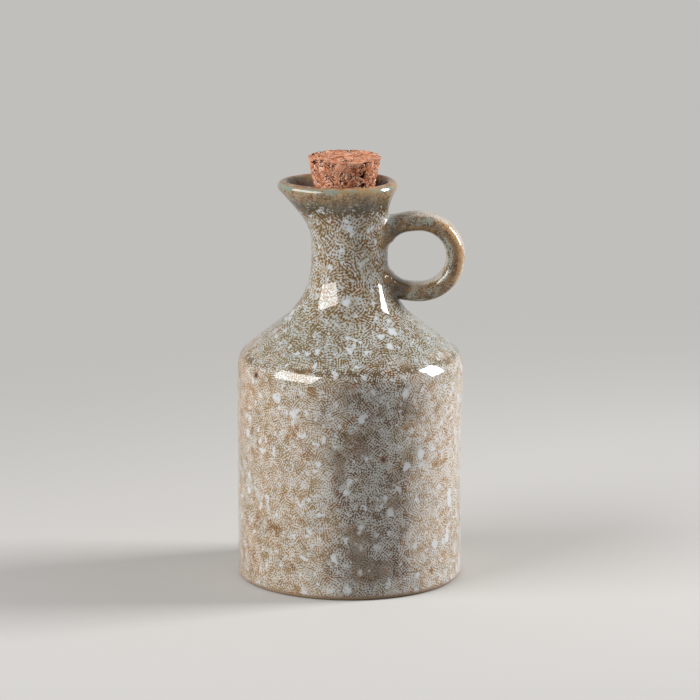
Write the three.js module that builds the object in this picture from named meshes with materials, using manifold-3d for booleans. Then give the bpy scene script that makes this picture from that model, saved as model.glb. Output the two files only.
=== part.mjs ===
// Ceramic oil dispenser: a hand-thrown stoneware bottle with a pulled pouring lip, a one-finger ring handle
// luted to the neck, and a tapered cork. Millimetres, +Z up. The origin is the middle of the foot, on the
// table. The pouring lip points to -X and the handle to +X.

import * as THREE from 'three';
import { mergeVertices } from 'three/addons/utils/BufferGeometryUtils.js';
import Module from 'manifold-3d';

const wasm = await Module();
wasm.setup();

// Foot and body
const BODY_RADIUS = 43;
const FOOT_ROUND = 1.8;
const FOOT_RING_WIDTH = 6;
const FOOT_RECESS = 1.2;
const BASE_THICKNESS = 6;
const BODY_WALL = 4.6;
const INNER_BASE_ROUND = 9;

// Shoulder: a cone between the straight wall and the neck, measured at its unrounded corners
const SHOULDER_HEIGHT = 86.4;
const SHOULDER_RISE = 22.4;
const SHOULDER_ROUND = 9.2;

// Neck and mouth. The neck runs from the shoulder's unrounded corner to the crest of the lip.
const NECK_RADIUS = 14.7;
const NECK_LENGTH = 45;
const NECK_WALL = 4.8;
const NECK_BASE_ROUND = 28.5;
const LIP_FLARE = 3.6;
const LIP_ROUND = 2.3;
const FLARE_ANGLE = THREE.MathUtils.degToRad(30);
const FLARE_ROUND = 22;
const MOUTH_STEP = 3.4;
const MOUTH_EDGE_ROUND = 1.5;
const SEAT_DEPTH = 13;
const SEAT_ROUND = 3;

// Pouring lip, drawn out from the round mouth by the potter's finger
const SPOUT_REACH = 9.2;
const SPOUT_DROP = 23;
const SPOUT_SPREAD = 0.5;
const SPOUT_POINTEDNESS = 1.5;

// Cork stopper, which sits off the bottle's axis because the drawn lip takes the mouth with it
const CORK_OFFSET = 1.9;
const CORK_PROUD = 9.3;
const CORK_TIP = 2.4;
const CORK_TAPER = 0.2;
const CORK_CLEARANCE = 0.3;
const CORK_EDGE_ROUND = 0.6;

// Ring handle. Its middle line runs from just above the foot of the neck to below the lip.
const RING_FOOT_RISE = 1.9;
const RING_LIP_DROP = 15.7;
const RING_STANDOFF = 12;
const RING_STRETCH = 20;
const STRAP_THICKNESS = 7.4;
const STRAP_WIDTH = 11;
const STRAP_SQUARENESS = 2.6;
const ROOT_FLARE = 1.7;
const ROOT_LENGTH = 7;
const ROOT_BURIAL = 4;
const SLIP_JOINT = 0.3;

// Facets
const TURNED_SEGMENTS = 60;
const CORK_SEGMENTS = 36;
const ARC_STEP = THREE.MathUtils.degToRad(13);
const SPOUT_STEP = 2.5;
const STRAP_STEPS = 44;
const STRAP_SIDES = 20;

const NECK_BASE_HEIGHT = SHOULDER_HEIGHT + SHOULDER_RISE;
const LIP_HEIGHT = NECK_BASE_HEIGHT + NECK_LENGTH;
const LIP_RADIUS = NECK_RADIUS + LIP_FLARE;
const BORE_RADIUS = NECK_RADIUS - NECK_WALL;
const SEAT_HEIGHT = LIP_HEIGHT - SEAT_DEPTH;
const SPOUT_FOOT = LIP_HEIGHT - SPOUT_DROP;
const RING_RADIUS = (NECK_LENGTH - RING_FOOT_RISE - RING_LIP_DROP) / 2;
const RING_HEIGHT = NECK_BASE_HEIGHT + RING_FOOT_RISE + RING_RADIUS;
const RING_REACH = NECK_RADIUS + RING_STANDOFF;

const glaze = new THREE.MeshStandardMaterial({ color: 0xa49d8c, roughness: 0.15, metalness: 0 });
const handleGlaze = new THREE.MeshStandardMaterial({ color: 0x8f8269, roughness: 0.15, metalness: 0 });
const cork = new THREE.MeshStandardMaterial({ color: 0xb9805f, roughness: 0.85, metalness: 0 });

// Outline through corners [radius, height, rounding], with an arc at each inner corner. Where two arcs would
// share more than the straight between them, both shrink to fit it.
function roundedOutline(corners) {
  const points = corners.map(([radius, height]) => new THREE.Vector2(radius, height));
  const turns = points.map((point, i) => {
    if (i === 0 || i === points.length - 1) return 0;
    const before = point.clone().sub(points[i - 1]);
    const after = points[i + 1].clone().sub(point);
    return Math.atan2(before.cross(after), before.dot(after));
  });
  const tangents = turns.map((turn, i) => corners[i][2] * Math.tan(Math.abs(turn) / 2));
  for (let i = 1; i < points.length; i++) {
    const straight = points[i].distanceTo(points[i - 1]);
    const fit = Math.min(1, straight / Math.max(tangents[i - 1] + tangents[i], straight));
    tangents[i - 1] *= fit;
    tangents[i] *= fit;
  }
  const outline = [points[0]];
  for (let i = 1; i < points.length - 1; i++) {
    outline.push(...arcAtCorner(points[i - 1], points[i], turns[i], tangents[i]));
  }
  outline.push(points.at(-1));
  return outline.filter((point, i) => i === 0 || point.distanceTo(outline[i - 1]) > 1e-6);
}

function arcAtCorner(from, corner, turn, tangent) {
  if (tangent === 0) return [corner];
  const heading = corner.clone().sub(from).normalize();
  const start = corner.clone().addScaledVector(heading, -tangent);
  const radius = tangent / Math.tan(turn / 2);
  const centre = new THREE.Vector2(-heading.y, heading.x).multiplyScalar(radius).add(start);
  const steps = Math.max(2, Math.ceil(Math.abs(turn) / ARC_STEP));
  const arc = [];
  for (let k = 0; k <= steps; k++) {
    arc.push(start.clone().rotateAround(centre, (turn * k) / steps));
  }
  return arc;
}

// Outside of the bottle, from the middle of the foot to the crest of the lip
function outerOutline() {
  const ringInside = BODY_RADIUS - FOOT_RING_WIDTH;
  const crest = LIP_RADIUS - LIP_ROUND;
  const lipCorner = crest + LIP_ROUND * Math.tan((Math.PI / 2 + FLARE_ANGLE) / 2);
  const flareHeight = LIP_HEIGHT - (lipCorner - NECK_RADIUS) / Math.tan(FLARE_ANGLE);
  return roundedOutline([
    [0, FOOT_RECESS, 0],
    [ringInside - FOOT_RECESS, FOOT_RECESS, FOOT_RECESS],
    [ringInside, 0, 0],
    [BODY_RADIUS, 0, FOOT_ROUND],
    [BODY_RADIUS, SHOULDER_HEIGHT, SHOULDER_ROUND],
    [NECK_RADIUS, NECK_BASE_HEIGHT, NECK_BASE_ROUND],
    [NECK_RADIUS, flareHeight, FLARE_ROUND],
    [lipCorner, LIP_HEIGHT, LIP_ROUND],
    [crest, LIP_HEIGHT, 0],
  ]);
}

// Inside of the bottle, from the crest of the lip to the middle of the inner base
function innerOutline() {
  const innerRadius = BODY_RADIUS - BODY_WALL;
  const slope = SHOULDER_RISE / (BODY_RADIUS - NECK_RADIUS);
  const shoulderTurn = Math.PI / 2 - Math.atan(slope);
  const innerShoulder = SHOULDER_HEIGHT - BODY_WALL * Math.tan(shoulderTurn / 2);
  const boreFoot = innerShoulder + (innerRadius - BORE_RADIUS) * slope;
  return roundedOutline([
    [LIP_RADIUS - LIP_ROUND, LIP_HEIGHT, 0],
    [LIP_RADIUS - MOUTH_STEP, LIP_HEIGHT, MOUTH_EDGE_ROUND],
    [BORE_RADIUS, SEAT_HEIGHT, SEAT_ROUND],
    [BORE_RADIUS, boreFoot, NECK_BASE_ROUND],
    [innerRadius, innerShoulder, SHOULDER_ROUND],
    [innerRadius, BASE_THICKNESS, INNER_BASE_ROUND],
    [0, BASE_THICKNESS, 0],
  ]);
}

// Outline with its straight runs beside the drawn lip cut into short steps, so that they can bend with it
function steppedAtSpout(outline) {
  const stepped = [outline[0]];
  for (let i = 1; i < outline.length; i++) {
    const from = outline[i - 1];
    const to = outline[i];
    const drawn = Math.max(from.y, to.y) > SPOUT_FOOT;
    const steps = drawn ? Math.ceil(from.distanceTo(to) / SPOUT_STEP) : 1;
    for (let k = 1; k <= steps; k++) {
      stepped.push(from.clone().lerp(to, k / steps));
    }
  }
  return stepped;
}

// Outline turned about the vertical axis
function turned(outline, segments) {
  const geometry = new THREE.LatheGeometry(outline, segments);
  geometry.rotateX(Math.PI / 2);
  return geometry;
}

const ramp = THREE.MathUtils.smoothstep;

// How far the lip is drawn towards -X at a height, outside and inside the wall. The inside stays round up to
// the cork's seat.
function outerPull(height) {
  return SPOUT_REACH * ramp(height, SPOUT_FOOT, LIP_HEIGHT - LIP_ROUND / 2);
}

function innerPull(height) {
  return SPOUT_REACH * ramp(height, SEAT_HEIGHT, LIP_HEIGHT);
}

// The throat leans towards the lip, furthest at the cork's seat
function throatShift(height) {
  return CORK_OFFSET * ramp(height, SPOUT_FOOT, SEAT_HEIGHT) * (1 - ramp(height, SEAT_HEIGHT, LIP_HEIGHT));
}

// Share of the pull at a point round the mouth: 1 at the tip, fading to nothing behind the sides
function pullShare(x, y) {
  const towardsTip = -x / Math.max(Math.hypot(x, y), 1e-9);
  return Math.max(0, (towardsTip + SPOUT_SPREAD) / (1 + SPOUT_SPREAD)) ** SPOUT_POINTEDNESS;
}

function bottleGeometry() {
  const outer = steppedAtSpout(outerOutline());
  const outline = outer.concat(steppedAtSpout(innerOutline()).slice(1));
  const geometry = turned(outline, TURNED_SEGMENTS);
  const position = geometry.attributes.position;
  for (let i = 0; i < position.count; i++) {
    const inside = i % outline.length >= outer.length;
    const x = position.getX(i);
    const z = position.getZ(i);
    const pull = inside ? innerPull(z) : outerPull(z);
    const shift = inside ? throatShift(z) : 0;
    position.setX(i, x - shift - pull * pullShare(x, position.getY(i)));
  }
  geometry.computeVertexNormals();
  return geometry;
}

// Middle line of the handle, from inside the shoulder, out round the finger hole and back into the neck wall.
// It is a circle on the far side, drawn out to a longer curve towards the bottle.
class RingLine extends THREE.Curve {
  constructor(reachAngle) {
    super();
    this.reachAngle = reachAngle;
  }

  getPoint(t, target = new THREE.Vector3()) {
    const angle = this.reachAngle * (2 * t - 1);
    const across = Math.cos(angle) * (Math.cos(angle) < 0 ? RING_STRETCH : RING_RADIUS);
    return target.set(RING_REACH + across, 0, RING_HEIGHT + RING_RADIUS * Math.sin(angle));
  }
}

// Rounded strap carried along the ring, thicker towards both roots where it was pressed onto the wet wall
function strapGeometry() {
  const buried = Math.min((RING_STANDOFF + ROOT_BURIAL) / RING_STRETCH, 1);
  const line = new RingLine(Math.PI / 2 + Math.asin(buried));
  const length = line.getLength();
  const positions = [];
  const sides = new THREE.Vector3(0, 1, 0);
  for (let i = 0; i <= STRAP_STEPS; i++) {
    const centre = line.getPointAt(i / STRAP_STEPS);
    const outward = sides.clone().cross(line.getTangentAt(i / STRAP_STEPS));
    const toRoot = (length * Math.min(i, STRAP_STEPS - i)) / STRAP_STEPS - ROOT_BURIAL;
    const flare = ROOT_FLARE * (1 - THREE.MathUtils.clamp(toRoot / ROOT_LENGTH, 0, 1)) ** 2;
    for (let k = 0; k < STRAP_SIDES; k++) {
      const section = strapSection((2 * Math.PI * k) / STRAP_SIDES, flare);
      const point = centre.clone().addScaledVector(outward, section.x).addScaledVector(sides, section.y);
      positions.push(...point.toArray());
    }
  }
  const geometry = new THREE.BufferGeometry();
  geometry.setAttribute('position', new THREE.Float32BufferAttribute(positions, 3));
  geometry.setIndex(loftFaces(STRAP_STEPS + 1, STRAP_SIDES));
  return geometry;
}

// Superellipse, grown by the flare: x across the strap's thickness, y across its width
function strapSection(angle, flare) {
  const power = 2 / STRAP_SQUARENESS;
  const x = Math.sign(Math.cos(angle)) * Math.abs(Math.cos(angle)) ** power;
  const y = Math.sign(Math.sin(angle)) * Math.abs(Math.sin(angle)) ** power;
  return new THREE.Vector2(x * (STRAP_THICKNESS / 2 + flare), y * (STRAP_WIDTH / 2 + flare));
}

// Faces of a loft through closed rings, with a fan over each end
function loftFaces(rings, sides) {
  const faces = [];
  for (let i = 0; i < rings - 1; i++) {
    for (let k = 0; k < sides; k++) {
      const a = i * sides + k;
      const b = i * sides + ((k + 1) % sides);
      faces.push(a, b, b + sides, a, b + sides, a + sides);
    }
  }
  const last = (rings - 1) * sides;
  for (let k = 1; k < sides - 1; k++) {
    faces.push(0, k + 1, k);
    faces.push(last, last + k, last + k + 1);
  }
  return faces;
}

// Solid of the bottle's outside, grown by the slip joint, which shapes the handle's two roots
function jointGeometry() {
  const outer = outerOutline();
  const grown = outer.map((point, i) => {
    const ahead = outer[Math.min(i + 1, outer.length - 1)];
    const behind = outer[Math.max(i - 1, 0)];
    const heading = ahead.clone().sub(behind).normalize();
    return new THREE.Vector2(point.x + heading.y * SLIP_JOINT, point.y - heading.x * SLIP_JOINT);
  });
  const foot = new THREE.Vector2(0, -SLIP_JOINT);
  const crown = new THREE.Vector2(0, LIP_HEIGHT + SLIP_JOINT);
  return turned([foot, ...grown.slice(1, -1), crown], TURNED_SEGMENTS);
}

// Closed mesh as a solid that can be cut, without the flat faces that turning leaves at the axis
function solidOf(geometry) {
  const bare = new THREE.BufferGeometry();
  bare.setAttribute('position', geometry.attributes.position);
  bare.setIndex(geometry.index);
  const merged = mergeVertices(bare);
  const corners = merged.index.array;
  const faces = [];
  for (let i = 0; i < corners.length; i += 3) {
    const [a, b, c] = corners.slice(i, i + 3);
    if (a !== b && b !== c && c !== a) faces.push(a, b, c);
  }
  const vertProperties = new Float32Array(merged.attributes.position.array);
  return new wasm.Manifold(new wasm.Mesh({ numProp: 3, vertProperties, triVerts: new Uint32Array(faces) }));
}

function geometryOf(solid) {
  const { vertProperties, triVerts } = solid.getMesh();
  const geometry = new THREE.BufferGeometry();
  geometry.setAttribute('position', new THREE.BufferAttribute(vertProperties, 3));
  geometry.setIndex(new THREE.BufferAttribute(triVerts, 1));
  geometry.computeVertexNormals();
  return geometry;
}

function handleGeometry() {
  return geometryOf(solidOf(strapGeometry()).subtract(solidOf(jointGeometry())));
}

// Tapered plug that stops at the seat, where the bore opens into the mouth
function corkGeometry() {
  const seated = BORE_RADIUS - CORK_CLEARANCE;
  const top = SEAT_DEPTH + CORK_PROUD;
  const outline = roundedOutline([
    [0, -CORK_TIP, 0],
    [seated - CORK_TAPER * CORK_TIP, -CORK_TIP, CORK_EDGE_ROUND],
    [seated + CORK_TAPER * top, top, CORK_EDGE_ROUND],
    [0, top, 0],
  ]);
  return turned(outline, CORK_SEGMENTS);
}

function piece(name, geometry, material) {
  const mesh = new THREE.Mesh(geometry, material);
  mesh.name = name;
  return mesh;
}

const dispenser = new THREE.Group();
dispenser.add(piece('stoneware_bottle', bottleGeometry(), glaze));
dispenser.add(piece('ring_handle', handleGeometry(), handleGlaze));

const stopper = piece('cork_stopper', corkGeometry(), cork);
stopper.position.set(-CORK_OFFSET, 0, SEAT_HEIGHT);
dispenser.add(stopper);

export default dispenser;
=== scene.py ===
"""Glazed stoneware oil bottle with a ring handle and a pressed cork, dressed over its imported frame.

Metres, +Z up, in the frame's own axes: the pouring lip points to -X and the handle to +X.
"""

import math
from bisect import bisect_left

import bmesh
import bpy
from mathutils import Matrix, Vector, noise


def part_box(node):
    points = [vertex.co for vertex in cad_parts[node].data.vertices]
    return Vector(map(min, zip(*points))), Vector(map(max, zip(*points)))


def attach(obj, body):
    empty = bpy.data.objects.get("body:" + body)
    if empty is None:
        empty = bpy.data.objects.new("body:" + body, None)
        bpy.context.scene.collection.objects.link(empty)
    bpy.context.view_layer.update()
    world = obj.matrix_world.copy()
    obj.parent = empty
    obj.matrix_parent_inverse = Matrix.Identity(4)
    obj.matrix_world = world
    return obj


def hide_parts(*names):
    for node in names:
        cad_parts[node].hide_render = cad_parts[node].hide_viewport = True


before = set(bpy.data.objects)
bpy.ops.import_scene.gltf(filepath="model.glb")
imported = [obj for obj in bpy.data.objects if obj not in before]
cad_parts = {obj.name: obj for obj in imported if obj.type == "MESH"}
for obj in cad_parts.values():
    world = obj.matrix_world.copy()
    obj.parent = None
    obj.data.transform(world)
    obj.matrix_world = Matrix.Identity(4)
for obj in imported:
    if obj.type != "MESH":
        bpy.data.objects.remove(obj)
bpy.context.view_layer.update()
_, bottle_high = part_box("stoneware_bottle")
cork_low, cork_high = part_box("cork_stopper")

# Bottle: an outline of corners, each with its own rounding
BODY_RADIUS = bottle_high.y
LIP_HEIGHT = bottle_high.z
FOOT_ROUND = 0.0018
FOOT_RING_WIDTH = 0.006
FOOT_RECESS = 0.0012
FOOT_EDGE_ROUND = 0.0004
BASE_THICKNESS = 0.006
BODY_WALL = 0.0046
INNER_BASE_ROUND = 0.009
NECK_LENGTH = 0.045
SHOULDER_RISE = 0.0224
SHOULDER_ROUND = 0.0092
NECK_RADIUS = 0.0147
NECK_WALL = 0.0048
NECK_BASE_ROUND = 0.0285
LIP_FLARE = 0.0036
LIP_ROUND = 0.0023
FLARE_ANGLE = math.radians(30)
FLARE_ROUND = 0.022
MOUTH_STEP = 0.0034
MOUTH_EDGE_ROUND = 0.0015
SEAT_DEPTH = 0.013
SEAT_ROUND = 0.003
NECK_BASE_HEIGHT = LIP_HEIGHT - NECK_LENGTH
SHOULDER_HEIGHT = NECK_BASE_HEIGHT - SHOULDER_RISE
SEAT_HEIGHT = LIP_HEIGHT - SEAT_DEPTH
BORE_RADIUS = NECK_RADIUS - NECK_WALL
LIP_CREST = NECK_RADIUS + LIP_FLARE - LIP_ROUND

# Pouring lip, drawn out of the round mouth
SPOUT_REACH = 0.0092
SPOUT_DEPTH = 0.023
SPOUT_FOOT = LIP_HEIGHT - SPOUT_DEPTH
SPOUT_SPREAD = 0.5
SPOUT_POINTEDNESS = 1.5
THROAT_LEAN = 0.0019

# The hand's unevenness in the thrown wall: shallow hollows, and a swell under the shoulder towards +X
HOLLOW_DEPTH = 0.0002
HOLLOW_LENGTH = 0.03
SWELL = 0.0007
SWELL_HEIGHT = 0.078
SWELL_LENGTH = 0.022

# Ring handle: a rounded strap along a ring that is drawn out towards the neck
RING_RADIUS = 0.0137
RING_LIFT = 0.0019
RING_HEIGHT = NECK_BASE_HEIGHT + RING_LIFT + RING_RADIUS
RING_STANDOFF = 0.012
RING_STRETCH = 0.020
RING_REACH = NECK_RADIUS + RING_STANDOFF
ROOT_BURIAL = 0.004
STRAP_THICKNESS = 0.0074
STRAP_WIDTH = 0.011
STRAP_SQUARENESS = 2.6
ROOT_FLARE = 0.0017
ROOT_LENGTH = 0.007
FILLET_OUTSIDE = 0.0012
FILLET_INSIDE = 0.0034
FILLET_SINK = 0.00005
REACH_ANGLE = math.pi / 2 + math.asin((RING_STANDOFF + ROOT_BURIAL) / RING_STRETCH)
CLEAR_ANGLE = math.pi / 3
TANGENT_STEP = 0.01
HALVINGS = 40

# Cork: granules pressed to a tapered plug, with flakes, pits and a chipped rim
CORK_AXIS = Vector((cork_low.x + cork_high.x, cork_low.y + cork_high.y, 0)) / 2
CORK_TOP_RADIUS = (cork_high.y - cork_low.y) / 2
CORK_TAPER = 0.2
CORK_EDGE_ROUND = 0.0003
GRANULE = 0.0024
GRANULE_BEND = 0.35
GRANULE_TILT = 0.0013
CREVICE_DEPTH = 0.0009
CREVICE_WIDTH = (0.02, 0.16)
CREVICE_SHADE = 0.7
GAPING_LENGTH = 0.0045
GAPING_LEVELS = (0.0, 0.4)
FLAKE = 0.0024
FLAKE_DEPTH = 0.00058
FINE_FLAKE = FLAKE / 2
FINE_FLAKE_SHARE = 0.8
FURROW_WIDTH = 0.04
FINE_FURROW_WIDTH = 0.01
WORN_FURROW_WIDENING = 0.11
WORN_FINE_FURROW_WIDENING = 0.14
WEAR_LENGTH = 0.0036
WEAR_LEVELS = (-0.35, 0.25)
PIT_SPACING = 0.0013
PIT_DEPTH = 0.0008
PIT_SIZE = 0.20
PIT_SIZE_SPREAD = 0.16
PITS_LEFT_OUT = 0.55
PITS_ADDED_AT_RIM = 0.35
PITTED_BELOW_RIM = (0.0015, 0.004)
UNPITTED_RIM = 0.001
RIM_CHIP = 0.0010
CHIP_LENGTH = 0.0016
CHIP_LEVELS = (0.1, 0.5)
CHIP_FADE = (0.0002, 0.0022)
SIDE_SLOPE = 0.5

# Seeds for the granules' tones, their tilt, and the pits
TONE_SEED = 1.0
TILT_SEEDS = (4.0, 5.0, 6.0)
PIT_SEED = 2.0
PIT_SIZE_SEED = 3.0

# Shifts that make one noise serve for several
BEND_SHIFTS = Vector((0, 0, 11)), Vector((0, 0, 22)), Vector((0, 0, 33))
GAPING_SHIFT = Vector((5, 0, 0))
WEAR_SHIFT = Vector((7, 0, 0))
FINE_FLAKE_SHIFT = Vector((3, 0, 0))
CHIP_SHIFT = Vector((0, 9, 0))
CELL_STRIDE = 7919.0
SEED_STRIDE = Vector((1, 3.7, 1.9))

# Fineness of the meshes, and the least lengths that count
ARC_STEP = math.radians(5)
LINE_STEP = 0.0015
TURNED_STEPS = 240
STRAP_STEPS = 130
STRAP_SIDES = 48
FILLET_STEPS = 7
CORK_STEP = 0.0002
LOWER_CORK_STEP = 0.0004
CORK_TURNED_STEPS = 400
MERGE_DISTANCE = 1e-6
STEP_TOLERANCE = 1e-6
TINY = 1e-9

# Floor and surround; the fade is in millimetres from the bottle's axis
FLOOR_SIZE = 6.0
FLOOR_FADE = (120, 500)
FLOOR_ROUGHNESS = 0.9
SURROUND_LIGHT = 0.2

# Camera: the photograph's angle, from far away
CAMERA_DISTANCE = 2.1
CAMERA_ELEVATION = math.radians(12.92)
CAMERA_AIM = Vector((0.00018, 0, 0.08764))
FOCAL_PIXELS = 5493.6
IMAGE_PIXELS = 700
SENSOR = 36.0
CAMERA_REACH = 50.0


def ramp(value, low, high):
    """Smooth step from 0 at low to 1 at high."""
    share = min(max((value - low) / (high - low), 0.0), 1.0)
    return share * share * (3 - 2 * share)


def draw_line(bm, tip, end, step):
    """Draws straight on from the vertex tip to the point end, in steps, and returns the last vertex."""
    start = tip.co.copy()
    steps = math.ceil((end - start).length / step - STEP_TOLERANCE)
    for k in range(1, steps + 1):
        tip = bmesh.ops.extrude_vert_indiv(bm, verts=[tip])["verts"][0]
        tip.co = start.lerp(end, k / steps)
    return tip


def draw_outline(bm, corners, step=LINE_STEP, tip=None):
    """Draws a chain of edges through (radius, height, rounding) corners, with an arc at each corner."""
    points = [Vector((radius, 0, height)) for radius, height, _ in corners]
    tip = tip or bm.verts.new(points[0])
    for before, corner, after, (_, _, rounding) in zip(points, points[1:], points[2:], corners[1:]):
        heading = (corner - before).normalized()
        leaving = (after - corner).normalized()
        turn = heading.angle(leaving)
        start = corner - heading * rounding * math.tan(turn / 2)
        tip = draw_line(bm, tip, start, step)
        if rounding:
            axis = heading.cross(leaving).normalized()
            centre = start + axis.cross(heading) * rounding
            steps = max(2, math.ceil(turn / ARC_STEP))
            bend = Matrix.Rotation(turn / steps, 3, axis)
            for _ in range(steps):
                tip = bmesh.ops.extrude_vert_indiv(bm, verts=[tip])["verts"][0]
                bmesh.ops.rotate(bm, verts=[tip], cent=centre, matrix=bend)
    return draw_line(bm, tip, points[-1], step)


def turn_outline(bm, steps):
    """Turns the drawn outline about the Z axis and closes its poles."""
    outline = bm.verts[:] + bm.edges[:]
    bmesh.ops.spin(
        bm, geom=outline, cent=(0, 0, 0), axis=(0, 0, 1), angle=2 * math.pi, steps=steps, use_merge=True
    )
    bmesh.ops.remove_doubles(bm, verts=bm.verts[:], dist=MERGE_DISTANCE)
    bmesh.ops.recalc_face_normals(bm, faces=bm.faces[:])


def outside_corners():
    """Outside of the bottle, from the middle of the foot to the crest of the lip."""
    ring_inside = BODY_RADIUS - FOOT_RING_WIDTH
    lip_corner = LIP_CREST + LIP_ROUND * math.tan((math.pi / 2 + FLARE_ANGLE) / 2)
    flare_height = LIP_HEIGHT - (lip_corner - NECK_RADIUS) / math.tan(FLARE_ANGLE)
    return [
        (0, FOOT_RECESS, 0),
        (ring_inside - FOOT_RECESS, FOOT_RECESS, FOOT_RECESS),
        (ring_inside, 0, FOOT_EDGE_ROUND),
        (BODY_RADIUS, 0, FOOT_ROUND),
        (BODY_RADIUS, SHOULDER_HEIGHT, SHOULDER_ROUND),
        (NECK_RADIUS, NECK_BASE_HEIGHT, NECK_BASE_ROUND),
        (NECK_RADIUS, flare_height, FLARE_ROUND),
        (lip_corner, LIP_HEIGHT, LIP_ROUND),
        (LIP_CREST, LIP_HEIGHT, 0),
    ]


def inside_corners():
    """Inside of the bottle, from the crest of the lip to the middle of the floor."""
    inner_radius = BODY_RADIUS - BODY_WALL
    slope = SHOULDER_RISE / (BODY_RADIUS - NECK_RADIUS)
    inner_shoulder = SHOULDER_HEIGHT - BODY_WALL * math.tan((math.pi / 2 - math.atan(slope)) / 2)
    bore_foot = inner_shoulder + (inner_radius - BORE_RADIUS) * slope
    return [
        (LIP_CREST, LIP_HEIGHT, 0),
        (LIP_CREST + LIP_ROUND - MOUTH_STEP, LIP_HEIGHT, MOUTH_EDGE_ROUND),
        (BORE_RADIUS, SEAT_HEIGHT, SEAT_ROUND),
        (BORE_RADIUS, bore_foot, NECK_BASE_ROUND),
        (inner_radius, inner_shoulder, SHOULDER_ROUND),
        (inner_radius, BASE_THICKNESS, INNER_BASE_ROUND),
        (0, BASE_THICKNESS, 0),
    ]


def pull_share(x, y):
    """Share of the lip's pull at a point round the mouth: 1 at the tip, none behind the sides."""
    towards_tip = -x / max(math.hypot(x, y), TINY)
    return max(0.0, (towards_tip + SPOUT_SPREAD) / (1 + SPOUT_SPREAD)) ** SPOUT_POINTEDNESS


def draw_out_lip(bm, inside):
    """Draws the mouth out to the pouring lip and leans the throat towards it."""
    for vert in bm.verts:
        x, y, z = vert.co
        if vert[inside]:
            opening = ramp(z, SEAT_HEIGHT, LIP_HEIGHT)
            lean = THROAT_LEAN * ramp(z, SPOUT_FOOT, SEAT_HEIGHT) * (1 - opening)
            vert.co.x -= lean + SPOUT_REACH * opening * pull_share(x, y)
        else:
            drawn = ramp(z, SPOUT_FOOT, LIP_HEIGHT - LIP_ROUND / 2)
            vert.co.x -= SPOUT_REACH * drawn * pull_share(x, y)


def throw_unevenly(bm):
    """Lets the wall run in and out a little, as a hand-thrown one does."""
    for vert in bm.verts:
        from_axis = math.hypot(vert.co.x, vert.co.y)
        if from_axis > BORE_RADIUS / 2:
            hollow = (1 - noise.noise(vert.co / HOLLOW_LENGTH)) / 2
            facing = max(0.0, vert.co.x / from_axis) ** 2
            level = 1 - ramp(abs(vert.co.z - SWELL_HEIGHT), 0.0, SWELL_LENGTH)
            outwards = 1 + (SWELL * facing * level - HOLLOW_DEPTH * hollow) / BODY_RADIUS
            vert.co.x *= outwards
            vert.co.y *= outwards


def bottle_mesh():
    """The thrown bottle, with its inside and its unglazed foot marked for the finish."""
    bm = bmesh.new()
    inside = bm.verts.layers.float.new("inside")
    bare = bm.verts.layers.float.new("bare")
    crest = draw_outline(bm, outside_corners())
    outer = set(bm.verts)
    draw_outline(bm, inside_corners(), tip=crest)
    for vert in bm.verts:
        vert[inside] = float(vert not in outer)
        under = vert in outer and vert.co.z < FOOT_ROUND
        vert[bare] = (1 - ramp(vert.co.z, FOOT_ROUND / 4, FOOT_ROUND)) if under else 0.0
        if under and vert.co.x < BODY_RADIUS - FOOT_ROUND:
            vert[bare] = 1.0
    turn_outline(bm, TURNED_STEPS)
    draw_out_lip(bm, inside)
    throw_unevenly(bm)
    return bm


def wall_line():
    """Heights and radii of the outside wall from the foot up to the lip's edge."""
    bm = bmesh.new()
    draw_outline(bm, outside_corners()[3:-1])
    rising = sorted((vert.co.z, vert.co.x) for vert in bm.verts)
    bm.free()
    return rising


WALL = wall_line()


def wall_radius(height):
    """Radius of the outside wall at a height."""
    i = min(max(bisect_left(WALL, (height, 0.0)), 1), len(WALL) - 1)
    (low, narrow), (high, wide) = WALL[i - 1], WALL[i]
    return narrow + (wide - narrow) * (height - low) / max(high - low, TINY)


def off_wall(point):
    """How far a point stands off the bottle's outside, sideways."""
    return math.hypot(point.x, point.y) - wall_radius(point.z)


def ring_point(angle):
    """Middle line of the handle: a circle on the far side, drawn out towards the neck."""
    across = math.cos(angle) * (RING_STRETCH if math.cos(angle) < 0 else RING_RADIUS)
    return Vector((RING_REACH + across, 0, RING_HEIGHT + RING_RADIUS * math.sin(angle)))


def strap_point(angle, side):
    """Point of the strap's surface, at an angle along the ring and an angle round the section."""
    centre = ring_point(angle)
    tangent = (ring_point(angle + TANGENT_STEP) - ring_point(angle - TANGENT_STEP)).normalized()
    outward = Vector((0, 1, 0)).cross(tangent)
    to_root = (centre - ring_point(math.copysign(REACH_ANGLE, angle))).length - ROOT_BURIAL
    flare = ROOT_FLARE * (1 - min(max(to_root / ROOT_LENGTH, 0.0), 1.0)) ** 2
    across = math.copysign(abs(math.cos(side)) ** (2 / STRAP_SQUARENESS), math.cos(side))
    wide = math.copysign(abs(math.sin(side)) ** (2 / STRAP_SQUARENESS), math.sin(side))
    thickness = STRAP_THICKNESS / 2 + flare
    width = STRAP_WIDTH / 2 + flare
    return centre + outward * across * thickness + Vector((0, wide * width, 0))


def angle_at_wall(side, end):
    """Angle along the ring where a line of the strap meets the wall; end is -1 below and 1 above."""
    clear = end * CLEAR_ANGLE
    buried = end * REACH_ANGLE
    for _ in range(HALVINGS):
        middle = (clear + buried) / 2
        if off_wall(strap_point(middle, side)) > 0:
            clear = middle
        else:
            buried = middle
    return clear


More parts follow.
